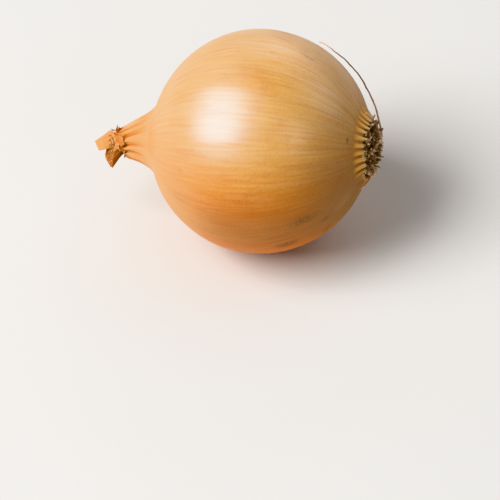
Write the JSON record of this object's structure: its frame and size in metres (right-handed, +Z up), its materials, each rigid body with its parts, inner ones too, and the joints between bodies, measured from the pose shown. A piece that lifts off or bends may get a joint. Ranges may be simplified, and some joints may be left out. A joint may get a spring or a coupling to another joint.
{
  "type": "yellow onion",
  "caption": "Whole yellow onion lying on its side: round papery golden bulb with a dried, pleated neck cut short at one end and a tuft of dead roots at the other.",
  "frame": {"origin": "centre of the small flat spot under the bulb, on the surface that the onion lies on", "axes": "+Z up; the onion's long axis lies along X, neck towards -X and roots towards +X, with the root end raised a little; -Y is the side that faces the viewer"},
  "size_m": [0.0996, 0.0748, 0.074],
  "materials": {
    "onion_skin": "satin",
    "dried_root": "matte"
  },
  "bodies": {
    "root": {"bulb": "onion_skin", "root_tuft": "dried_root"}
  },
  "joints": []
}
